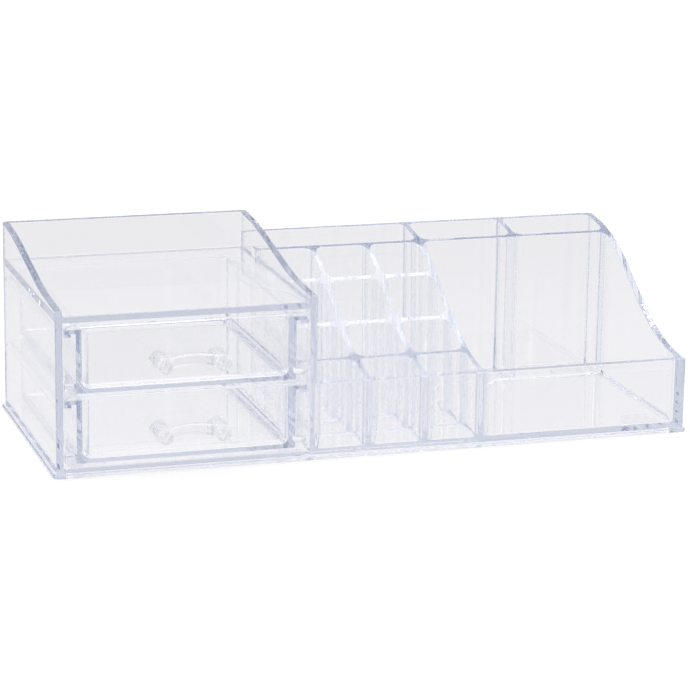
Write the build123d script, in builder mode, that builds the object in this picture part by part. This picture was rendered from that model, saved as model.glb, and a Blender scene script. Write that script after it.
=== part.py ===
"""Clear makeup organizer: a moulded case with a drawer tower, two hanging drawers with pulls, four pads.

Millimetres, +Z up, front towards -Y. The origin is at the middle of the bottom of the whole object's box:
the four pads stand on Z = 0, and the pulls' ends and the back of the base flange are equally far along Y.
"""
from build123d import *
import os

os.makedirs("parts", exist_ok=True)

# How far an edge may be from the place it is looked for at
tolerance = 0.01

# Case walls
wall = 3.2
divider = 2.5
floor_thickness = 2.8
pocket_corner_radius = 4.0
pocket_floor_radius = 0.8
back_corner_radius = 2.0
case_edge_radius = 0.4

# Base
flange_overhang = 1.5
flange_thickness = 1.6
flange_corner_radius = 3.0
flange_edge_radius = 0.6
recess_depth = 1.2
recess_margin = 4.5
recess_corner_radius = 4.0

# Pads under the base
pad_size = 16.0
pad_corner_radius = 4.0
pad_proud = 0.6
pad_inset_x = 3.5
pad_inset_y = 2.0

# Compartments
slot_columns = 3
slot_rows = 4
slot_width = 24.5
slot_depth = 21.0
tray_width = 94.5
back_row_depth = 20.6

# Tower with the drawer bay and a tray on top
bay_width = 111.9
tray_floor_thickness = 3.0
tray_corner_radius = 1.0
tower_front_rise = 2.6
tower_back_rise = 17.3
tower_front_slope = 0.045
tower_back_slope = 0.07
tower_front_bend = 34.5
tower_back_bend = 24.8
tower_bend_radius = 170.0

# Swept side of the compartments: heights above the underside of the flange
front_height = 34.7
back_height = 79.7
sweep_slope = 0.09
sweep_bend = 31.0
sweep_bend_radius = 95.0

# Drawers
drawer_levels = ("lower", "upper")
panel_height = 31.3
panel_thickness = 2.5
panel_corner_radius = 3.0
panel_edge_radius = 0.4
panel_side_gap = 0.6
panel_gap = 0.4
bay_bottom_gap = 0.7
bay_top_gap = 1.8
box_inset = 5.6
box_wall = 2.5
box_floor = 1.1
box_floor_lift = 0.9
box_corner_radius = 3.0
box_inner_radius = 4.5
box_floor_radius = 3.5
box_edge_radius = 0.4
box_back_gap = 1.2
rim_drop = 1.7
rim_thickness = 1.8
rim_side_gap = 1.2
gusset_thickness = 2.4
gusset_length = 7.0
gusset_lift = 2.2

# Ledges in the bay that carry the drawers' rims
ledge_width = 4.2
ledge_thickness = 1.5
ledge_front_gap = 0.7
slide_gap = 0.15

# Pulls
pull_projection = 12.5
post_diameter = 7.6
post_spacing = 26.0
post_edge_radius = 0.6
collar_diameter = 9.6
collar_thickness = 1.2
pull_drop = 1.5
strap_height = 5.0
strap_thickness = 4.0
strap_setback = 1.2
strap_rise = 2.2
strap_edge_radius = 0.9
spigot_diameter = 4.0
spigot_gap = 0.1
head_diameter = 7.0
head_thickness = 1.0

# Levels
flange_bottom = pad_proud
recess_top = flange_bottom + recess_depth
floor_top = recess_top + floor_thickness
panel_pitch = panel_height + panel_gap
first_panel = floor_top + bay_bottom_gap
bay_top = first_panel + len(drawer_levels) * panel_pitch - panel_gap + bay_top_gap
tray_floor_top = bay_top + tray_floor_thickness
tower_front_top = tray_floor_top + tower_front_rise
tower_back_top = tray_floor_top + tower_back_rise

# Plan
tower_width = bay_width + 2 * wall
grid_width = slot_columns * (slot_width + divider)
body_width = tower_width + grid_width + tray_width + wall
body_depth = 2 * wall + slot_rows * (slot_depth + divider) + back_row_depth
left = -body_width / 2
front = (pull_projection - body_depth - flange_overhang) / 2
back = front + body_depth
right = left + body_width
middle_y = (front + back) / 2
inside_front = front + wall
inside_back = back - wall
bay_left = left + wall
bay_right = bay_left + bay_width
bay_middle = (bay_left + bay_right) / 2
grid_left = left + tower_width
tray_left = grid_left + grid_width
tray_right = right - wall
back_row_front = inside_back - back_row_depth
tray_back = back_row_front - divider


def side_outline(front_z, back_z, front_slope, back_slope, front_bend, back_bend, radius):
    """A side of the case in the YZ plane: a front-to-back sweep above a flat base."""
    with BuildLine() as outline:
        crest = FilletPolyline(
            (front, front_z),
            (front + front_bend, front_z + front_slope * front_bend),
            (back - back_bend, back_z - back_slope * back_bend),
            (back, back_z),
            radius=radius,
        )
        Polyline(crest @ 1, (back, flange_bottom), (front, flange_bottom), crest @ 0)
    make_face(outline.edges())


def pocket(x_low, x_high, y_low, y_high, corner):
    """A rounded rectangle between two corners, in the sketch that is being made."""
    with Locations(((x_low + x_high) / 2, (y_low + y_high) / 2)):
        RectangleRounded(x_high - x_low, y_high - y_low, corner)


def block(x_low, x_high, y_low, y_high, z_low, z_high, mode=Mode.ADD):
    """A box between two corners, in the part that is being made."""
    with Locations(((x_low + x_high) / 2, (y_low + y_high) / 2, (z_low + z_high) / 2)):
        Box(x_high - x_low, y_high - y_low, z_high - z_low, mode=mode)


def near(edges, axis, low, high=None):
    """The edges with their middles between two values along an axis, or at one value."""
    return edges.filter_by_position(axis, low - tolerance, (low if high is None else high) + tolerance)


def outline_of(faces):
    """The edges that belong to only one of some neighbouring faces."""
    found = {}
    for edge in (edge for face in faces for edge in face.edges()):
        found.setdefault(tuple(round(value, 3) for value in edge @ 0.5), []).append(edge)
    return ShapeList(edges[0] for edges in found.values() if len(edges) == 1)


def wall_tops(part, above):
    """The faces that look up, above a height."""
    return [
        face for face in part.faces()
        if face.normal_at(face.center()).Z > 0.5 and face.center().Z > above + tolerance
    ]


def panel_bottom(level):
    return first_panel + level * panel_pitch


def rim_top(level):
    return panel_bottom(level) + panel_height - rim_drop


# Tower with an open-fronted tray above the drawer bay
with BuildPart() as tower:
    with BuildSketch(Plane.YZ.offset(left)):
        side_outline(
            tower_front_top, tower_back_top, tower_front_slope, tower_back_slope,
            tower_front_bend, tower_back_bend, tower_bend_radius,
        )
    extrude(amount=tower_width)
    fillet(near(tower.edges().filter_by(Axis.Z), Axis.Y, back), back_corner_radius)
    with BuildSketch(Plane.XY.offset(tray_floor_top)):
        pocket(bay_left, bay_right, front - 2 * tray_corner_radius, inside_back, tray_corner_radius)
    extrude(amount=tower_back_top, mode=Mode.SUBTRACT)
    fillet(
        near(near(tower.edges(), Axis.Z, tray_floor_top), Axis.Y, inside_front, inside_back),
        pocket_floor_radius,
    )
    block(bay_left, bay_right, front, inside_back, floor_top, bay_top, Mode.SUBTRACT)
    tray_front_middle = (tray_floor_top + tower_front_top) / 2
    fillet(
        outline_of(wall_tops(tower.part, tray_floor_top))
        + near(near(tower.edges(), Axis.Y, front), Axis.Z, floor_top, tray_front_middle),
        case_edge_radius,
    )

    # Ledges in the bay
    for level in range(len(drawer_levels)):
        ledge_top = rim_top(level) - rim_thickness - slide_gap
        for x_low in (bay_left, bay_right - ledge_width):
            block(
                x_low, x_low + ledge_width,
                front + panel_thickness + ledge_front_gap, inside_back,
                ledge_top - ledge_thickness, ledge_top,
            )

# Case: one moulding of the base, the compartments and the tower
with BuildPart() as case:
    # Flange round the base
    with BuildSketch(Plane.XY.offset(flange_bottom)):
        with Locations((0, middle_y)):
            RectangleRounded(
                body_width + 2 * flange_overhang, body_depth + 2 * flange_overhang, flange_corner_radius
            )
    extrude(amount=flange_thickness)
    fillet(case.faces().sort_by(Axis.Z)[-1].edges(), flange_edge_radius)

    # Swept block of the compartments, which starts inside the tower's wall, before the rounded corner
    block_left = grid_left - (wall + back_corner_radius) / 2
    with BuildSketch(Plane.YZ.offset(block_left)):
        side_outline(
            flange_bottom + front_height, flange_bottom + back_height, sweep_slope, sweep_slope,
            sweep_bend, sweep_bend, sweep_bend_radius,
        )
    extrude(amount=right - block_left)
    fillet(near(near(case.edges().filter_by(Axis.Z), Axis.X, right), Axis.Y, back), back_corner_radius)

    # The lipstick grid, the wide tray and the back row
    back_cell = (tray_width - divider) / 2
    cells = [
        (tray_left, tray_right, inside_front, tray_back),
        (grid_left, tray_left - divider, back_row_front, inside_back),
        (tray_left, tray_left + back_cell, back_row_front, inside_back),
        (tray_right - back_cell, tray_right, back_row_front, inside_back),
    ]
    for column in range(slot_columns):
        slot_left = grid_left + column * (slot_width + divider)
        for row in range(slot_rows):
            slot_front = inside_front + row * (slot_depth + divider)
            cells.append((slot_left, slot_left + slot_width, slot_front, slot_front + slot_depth))
    with BuildSketch(Plane.XY.offset(floor_top)):
        for cell in cells:
            pocket(*cell, pocket_corner_radius)
    extrude(amount=tower_back_top, mode=Mode.SUBTRACT)
    fillet(
        near(near(case.edges(), Axis.Z, floor_top), Axis.Y, inside_front, inside_back),
        pocket_floor_radius,
    )
    tops = wall_tops(case.part, floor_top + pocket_floor_radius)
    fillet(
        near(outline_of(tops), Axis.X, grid_left - case_edge_radius, right)
        + near(near(case.edges().filter_by(Axis.Z), Axis.X, right), Axis.Y, front),
        case_edge_radius,
    )
    add(tower.part)

    # Shallow recess in the underside
    with BuildSketch(Plane.XY.offset(flange_bottom)):
        pocket(
            left + recess_margin, right - recess_margin, front + recess_margin, back - recess_margin,
            recess_corner_radius,
        )
    extrude(amount=recess_depth, mode=Mode.SUBTRACT)
case.part.label = "case"
export_step(case.part, "parts/case.step")

# Drawers
panel_width = bay_width - 2 * panel_side_gap
panel_back = front + panel_thickness
panel_middle = front + panel_thickness / 2
box_left = bay_left + panel_side_gap + box_inset
box_right = bay_right - panel_side_gap - box_inset
box_back = inside_back - box_back_gap
post_places = [bay_middle + side * post_spacing / 2 for side in (-1, 1)]

for level, level_name in enumerate(drawer_levels):
    panel_low = panel_bottom(level)
    box_low = panel_low + box_floor_lift
    box_top = rim_top(level)
    pull_z = panel_low + panel_height / 2 - pull_drop

    with BuildPart() as drawer:
        # Box that starts inside the panel, with rounded back corners, and the rims that hang on the ledges
        block(box_left, box_right, panel_middle, box_back, box_low, box_top)
        fillet(near(drawer.edges().filter_by(Axis.Z), Axis.Y, box_back), box_corner_radius)
        for x_low, x_high in (
            (bay_left + rim_side_gap, box_left + box_wall),
            (box_right - box_wall, bay_right - rim_side_gap),
        ):
            block(
                x_low, x_high, panel_middle, box_back - box_corner_radius, box_top - rim_thickness, box_top
            )
        with BuildSketch(Plane.XY.offset(box_low + box_floor)):
            pocket(
                box_left + box_wall, box_right - box_wall, panel_back, box_back - box_wall,
                box_inner_radius,
            )
        extrude(amount=panel_height, mode=Mode.SUBTRACT)
        fillet(near(drawer.edges(), Axis.Z, box_low + box_floor), box_floor_radius)
        fillet(
            near(near(drawer.edges(), Axis.Z, box_top), Axis.Y, panel_back - box_edge_radius, box_back),
            box_edge_radius,
        )

        # Panel
        with BuildSketch(Plane.XZ.offset(-front)):
            with Locations((bay_middle, panel_low + panel_height / 2)):
                RectangleRounded(panel_width, panel_height, panel_corner_radius)
        extrude(amount=-panel_thickness)
        fillet(drawer.faces().sort_by(Axis.Y)[0].edges(), panel_edge_radius)

        # Gussets between the ends of the panel and the sides of the box
        with BuildSketch(Plane.XY.offset(box_low + gusset_lift)):
            for x_box, x_end in (
                (box_left, bay_left + rim_side_gap),
                (box_right, bay_right - rim_side_gap),
            ):
                with BuildLine():
                    Polyline(
                        (x_box, panel_back), (x_end, panel_back), (x_box, panel_back + gusset_length),
                        close=True,
                    )
                make_face()
        extrude(amount=gusset_thickness)

        # Holes for the pull's spigots
        with BuildSketch(Plane.XZ.offset(-front)):
            with Locations([(x, pull_z) for x in post_places]):
                Circle(spigot_diameter / 2 + spigot_gap)
        extrude(amount=-panel_thickness, mode=Mode.SUBTRACT)
    drawer.part.label = f"drawer_{level_name}"
    export_step(drawer.part, f"parts/drawer_{level_name}.step")

    with BuildPart() as pull:
        # Arched strap between the middles of the posts
        strap_front = front - pull_projection + strap_setback
        with BuildSketch(Plane.XZ.offset(-strap_front)):
            with BuildLine():
                rise = [
                    ThreePointArc(
                        (post_places[0], pull_z + edge * strap_height / 2),
                        (bay_middle, pull_z + edge * strap_height / 2 + strap_rise),
                        (post_places[1], pull_z + edge * strap_height / 2),
                    )
                    for edge in (-1, 1)
                ]
                Line(rise[0] @ 0, rise[1] @ 0)
                Line(rise[0] @ 1, rise[1] @ 1)
            make_face()
        extrude(amount=-strap_thickness)
        fillet(pull.edges().filter_by(GeomType.CIRCLE), strap_edge_radius)

        # Posts with a collar on the panel, and a spigot flared behind it
        for radius, y_low, y_high in (
            (post_diameter / 2, front - pull_projection, front),
            (collar_diameter / 2, front - collar_thickness, front),
            (spigot_diameter / 2, front, panel_back),
            (head_diameter / 2, panel_back, panel_back + head_thickness),
        ):
            with BuildSketch(Plane.XZ.offset(-y_low)):
                with Locations([(x, pull_z) for x in post_places]):
                    Circle(radius)
            extrude(amount=y_low - y_high)
        fillet(
            pull.edges().filter_by(GeomType.CIRCLE).group_by(Axis.Y)[0], post_edge_radius
        )
    pull.part.label = f"pull_{level_name}"
    export_step(pull.part, f"parts/pull_{level_name}.step")

# Pads in the corners of the recess
pad_half = pad_size / 2
pad_x = body_width / 2 - recess_margin - pad_inset_x - pad_half
pad_y = body_depth / 2 - recess_margin - pad_inset_y - pad_half
for end, y_side in (("front", -1), ("back", 1)):
    for hand, x_side in (("left", -1), ("right", 1)):
        with BuildPart() as pad:
            with BuildSketch(Plane.XY):
                with Locations((x_side * pad_x, middle_y + y_side * pad_y)):
                    RectangleRounded(pad_size, pad_size, pad_corner_radius)
            extrude(amount=recess_top)
        pad.part.label = f"pad_{end}_{hand}"
        export_step(pad.part, f"parts/pad_{end}_{hand}.step")
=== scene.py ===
"""Looks of a clear makeup organizer: moulded clear plastic on a pale floor, seen from the front left."""
import math

import bpy
from mathutils import Matrix, Vector


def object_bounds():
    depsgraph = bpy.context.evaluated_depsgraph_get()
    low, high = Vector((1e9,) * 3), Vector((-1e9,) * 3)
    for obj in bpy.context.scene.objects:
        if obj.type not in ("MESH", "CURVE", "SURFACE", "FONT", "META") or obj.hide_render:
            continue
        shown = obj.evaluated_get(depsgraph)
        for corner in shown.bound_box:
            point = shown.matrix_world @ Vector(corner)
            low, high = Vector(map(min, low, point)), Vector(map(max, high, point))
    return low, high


MM = 0.001
WHITE = (1.0, 1.0, 1.0, 1.0)

# Camera, solved from the object's right angles in the photo
CAMERA_PLACE = (-385.4 * MM, -1220.0 * MM, 366.7 * MM)
CAMERA_TURN = math.radians(17.53)
CAMERA_DIP = math.radians(14.42)
CAMERA_ROLL = math.radians(0.81)
CAMERA_LENS = 147.76
CAMERA_SENSOR = 36.0
BOUNCES = 128

# Clear moulded polystyrene, with a trace of blue in its thickness
PLASTIC_IOR = 1.58
PLASTIC_TINT = (0.47, 0.54, 0.71, 1.0)
PLASTIC_DENSITY = 6.0
PLASTIC_GLOSS = (0.0, 0.02)
PULL_COLOUR = (0.97, 0.97, 0.985, 1.0)
PAD_IOR = 1.41
PAD_COLOUR = (0.96, 0.96, 0.975, 1.0)
PAD_GLOSS = (0.1, 0.2)

# Pulls and pads stand a hair's breadth off the pieces that they touch
TOUCHING = ("pull", "pad")
AIR_GAP = 0.02 * MM

# Handling marks in the gloss, and the slow wave that the mould leaves in the surface
MARK_SCALE = 60.0
MARK_DETAIL = 6.0
MARK_SHARPNESS = 0.6
MARK_RANGE = (0.45, 0.75)
WAVE_SCALE = 18.0
WAVE_HEIGHT = 0.003 * MM
PULL_WAVE_HEIGHT = 0.001 * MM

# Index of refraction, colour, density of the absorption, smoothest and roughest gloss, and height of the wave
FINISHES = {
    "case": (PLASTIC_IOR, WHITE, PLASTIC_DENSITY, PLASTIC_GLOSS, WAVE_HEIGHT),
    "drawer": (PLASTIC_IOR, WHITE, PLASTIC_DENSITY, PLASTIC_GLOSS, WAVE_HEIGHT),
    "pull": (PLASTIC_IOR, PULL_COLOUR, 0.0, PLASTIC_GLOSS, PULL_WAVE_HEIGHT),
    "pad": (PAD_IOR, PAD_COLOUR, 0.0, PAD_GLOSS, WAVE_HEIGHT),
}

# Floor as the camera sees it
FLOOR_SIZE = 8.0
FLOOR_DROP = 0.15 * MM
FLOOR_COLOUR = (0.2, 0.2, 0.2, 1.0)
FLOOR_GLOW = 0.85

# What the plastic mirrors and bends: a pale floor, whose shade changes with the distance behind the object's middle
# in metres, and a room whose shade changes with the height of the direction, before and behind the object
ROOM_COLOUR = (1.0, 0.995, 1.02)
FLOOR_REACH = 0.5
FLOOR_SHADES = ((-0.20, 0.75), (-0.05, 0.90), (0.12, 0.90), (0.25, 0.88), (0.40, 0.86))
ROOM_BEHIND = ((0.0, 0.86), (0.18, 0.88), (0.27, 0.93), (0.42, 1.25), (0.6, 1.0), (1.0, 0.95))
ROOM_BEFORE = ((0.0, 0.50), (0.5, 0.60), (0.8, 0.90), (1.0, 0.95))
ROOM_TURN = (-0.3, 0.5)

# Lamps: name, place, size and power
LAMPS = (
    ("top", (0.0, 0.2, 1.2), (1.8, 1.2), 7.0),
    ("left", (-1.3, -0.6, 0.7), (0.6, 0.9), 3.0),
    ("right", (1.2, -0.7, 0.6), (0.5, 0.9), 2.5),
)

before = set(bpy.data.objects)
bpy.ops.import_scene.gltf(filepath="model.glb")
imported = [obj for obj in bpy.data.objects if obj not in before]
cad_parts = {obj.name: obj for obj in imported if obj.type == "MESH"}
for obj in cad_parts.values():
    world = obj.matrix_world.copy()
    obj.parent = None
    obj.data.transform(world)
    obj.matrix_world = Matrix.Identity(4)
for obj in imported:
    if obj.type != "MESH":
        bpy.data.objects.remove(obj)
cad_low, cad_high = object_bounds()
scene = bpy.context.scene


def nodes_of(owner):
    """The empty node tree of a material or world: its nodes and a function that links them."""
    owner.use_nodes = True
    tree = owner.node_tree
    tree.nodes.clear()
    return tree.nodes, tree.links.new


def mapped(nodes, link, value, span, low=0.0, high=1.0):
    """A value moved from a span to a range."""
    node = nodes.new("ShaderNodeMapRange")
    node.inputs["From Min"].default_value, node.inputs["From Max"].default_value = span
    node.inputs["To Min"].default_value = low
    node.inputs["To Max"].default_value = high
    link(value, node.inputs["Value"])
    return node


def parts_of(nodes, link, coordinates):
    """The X, Y and Z of the object's coordinates or of a direction."""
    place = nodes.new("ShaderNodeTexCoord")
    split = nodes.new("ShaderNodeSeparateXYZ")
    link(place.outputs[coordinates], split.inputs["Vector"])
    return split.outputs


def shade_ramp(nodes, link, value, shades, start=0.0, reach=1.0):
    """A shade of the room's colour, from pairs of a place and a shade."""
    node = nodes.new("ShaderNodeValToRGB")
    ramp = node.color_ramp
    ramp.elements.remove(ramp.elements[1])
    for number, (place, shade) in enumerate(shades):
        at = (place - start) / reach
        element = ramp.elements[0] if number == 0 else ramp.elements.new(at)
        element.position = at
        element.color = [shade * part for part in ROOM_COLOUR] + [1.0]
    link(value, node.inputs["Fac"])
    return node.outputs["Color"]


def mixed(nodes, link, factor, first, second):
    """One shader or another, by a factor."""
    node = nodes.new("ShaderNodeMixShader")
    for source, socket in zip((factor, first, second), node.inputs):
        link(source, socket)
    return node.outputs["Shader"]


def clear_plastic(name, ior, colour, density, gloss, wave_height):
    """Clear plastic with faint handling marks in its gloss and a slow wave in its surface from the mould."""
    material = bpy.data.materials.new(name)
    nodes, link = nodes_of(material)
    out = nodes.new("ShaderNodeOutputMaterial")
    shader = nodes.new("ShaderNodeBsdfPrincipled")
    shader.inputs["Base Color"].default_value = colour
    shader.inputs["IOR"].default_value = ior
    shader.inputs["Transmission Weight"].default_value = 1.0
    link(shader.outputs["BSDF"], out.inputs["Surface"])

    place = nodes.new("ShaderNodeTexCoord")
    marks = nodes.new("ShaderNodeTexNoise")
    marks.inputs["Scale"].default_value = MARK_SCALE
    marks.inputs["Detail"].default_value = MARK_DETAIL
    marks.inputs["Roughness"].default_value = MARK_SHARPNESS
    link(place.outputs["Object"], marks.inputs["Vector"])
    roughness = mapped(nodes, link, marks.outputs["Fac"], MARK_RANGE, *gloss)
    link(roughness.outputs["Result"], shader.inputs["Roughness"])

    wave = nodes.new("ShaderNodeTexNoise")
    wave.inputs["Scale"].default_value = WAVE_SCALE
    wave.inputs["Detail"].default_value = 0.0
    link(place.outputs["Object"], wave.inputs["Vector"])
    bump = nodes.new("ShaderNodeBump")
    bump.inputs["Strength"].default_value = 1.0
    bump.inputs["Distance"].default_value = wave_height
    link(wave.outputs["Fac"], bump.inputs["Height"])
    link(bump.outputs["Normal"], shader.inputs["Normal"])

    if density:
        inside = nodes.new("ShaderNodeVolumeAbsorption")
        inside.inputs["Color"].default_value = PLASTIC_TINT
        inside.inputs["Density"].default_value = density
        link(inside.outputs["Volume"], out.inputs["Volume"])
    return material


def softbox(name, place, size, power):
    """An area light that faces the middle of the object."""
    light = bpy.data.lights.new(name, "AREA")
    light.shape = "RECTANGLE"
    light.size, light.size_y = size
    light.energy = power
    lamp = bpy.data.objects.new(name, light)
    scene.collection.objects.link(lamp)
    lamp.location = place
    middle = (cad_low + cad_high) / 2
    lamp.rotation_euler = (middle - Vector(place)).to_track_quat("-Z", "Y").to_euler()


finishes = {kind: clear_plastic("clear_" + kind, *values) for kind, values in FINISHES.items()}
for node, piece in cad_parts.items():
    kind = node.split("_")[0]
    piece.data.materials.clear()
    piece.data.materials.append(finishes[kind])
    if kind in TOUCHING:
        shrink = piece.modifiers.new("air_gap", "DISPLACE")
        shrink.strength = -AIR_GAP
        shrink.mid_level = 0.0

# Floor: white to the camera, with the object's shadow, and shaded where the plastic bends or mirrors it
bpy.ops.mesh.primitive_plane_add(size=FLOOR_SIZE, location=(0, 0, -FLOOR_DROP))
floor = bpy.context.object
floor.name = "floor"
material = bpy.data.materials.new("floor")
nodes, link = nodes_of(material)
out = nodes.new("ShaderNodeOutputMaterial")
own = nodes.new("ShaderNodeBsdfDiffuse")
own.inputs["Color"].default_value = FLOOR_COLOUR
glow = nodes.new("ShaderNodeEmission")
glow.inputs["Color"].default_value = WHITE
glow.inputs["Strength"].default_value = FLOOR_GLOW
both = nodes.new("ShaderNodeAddShader")
link(own.outputs["BSDF"], both.inputs[0])
link(glow.outputs["Emission"], both.inputs[1])
behind = nodes.new("ShaderNodeEmission")
along = mapped(nodes, link, parts_of(nodes, link, "Object")["Y"], (-FLOOR_REACH, FLOOR_REACH))
shades = shade_ramp(nodes, link, along.outputs["Result"], FLOOR_SHADES, -FLOOR_REACH, 2 * FLOOR_REACH)
link(shades, behind.inputs["Color"])
path = nodes.new("ShaderNodeLightPath")
clear_ray = nodes.new("ShaderNodeMath")
clear_ray.operation = "MAXIMUM"
link(path.outputs["Is Glossy Ray"], clear_ray.inputs[0])
link(path.outputs["Is Transmission Ray"], clear_ray.inputs[1])
surface = mixed(nodes, link, clear_ray.outputs["Value"], both.outputs["Shader"], behind.outputs["Emission"])
link(surface, out.inputs["Surface"])
floor.data.materials.append(material)

# Room
world = bpy.data.worlds.new("room")
scene.world = world
nodes, link = nodes_of(world)
out = nodes.new("ShaderNodeOutputWorld")
white = nodes.new("ShaderNodeBackground")
white.inputs["Color"].default_value = WHITE
room = nodes.new("ShaderNodeBackground")
direction = parts_of(nodes, link, "Generated")
turn = mapped(nodes, link, direction["Y"], ROOM_TURN)
turn.interpolation_type = "SMOOTHSTEP"
blend = nodes.new("ShaderNodeMix")
blend.data_type = "RGBA"
link(turn.outputs["Result"], blend.inputs["Factor"])
link(shade_ramp(nodes, link, direction["Z"], ROOM_BEFORE), blend.inputs["A"])
link(shade_ramp(nodes, link, direction["Z"], ROOM_BEHIND), blend.inputs["B"])
link(blend.outputs["Result"], room.inputs["Color"])
path = nodes.new("ShaderNodeLightPath")
seen = mixed(nodes, link, path.outputs["Is Camera Ray"], room.outputs["Background"], white.outputs["Background"])
link(seen, out.inputs["Surface"])

for lamp in LAMPS:
    softbox(*lamp)

lens = bpy.data.cameras.new("camera")
lens.lens = CAMERA_LENS
lens.sensor_width = CAMERA_SENSOR
camera = bpy.data.objects.new("camera", lens)
scene.collection.objects.link(camera)
camera.matrix_world = (
    Matrix.Translation(CAMERA_PLACE)
    @ Matrix.Rotation(-CAMERA_TURN, 4, "Z")
    @ Matrix.Rotation(math.pi / 2 - CAMERA_DIP, 4, "X")
    @ Matrix.Rotation(CAMERA_ROLL, 4, "Z")
)
scene.camera = camera
scene.view_settings.view_transform = "Standard"
scene.cycles.max_bounces = BOUNCES
scene.cycles.transmission_bounces = BOUNCES
scene.cycles.glossy_bounces = BOUNCES
scene.cycles.use_denoising = True
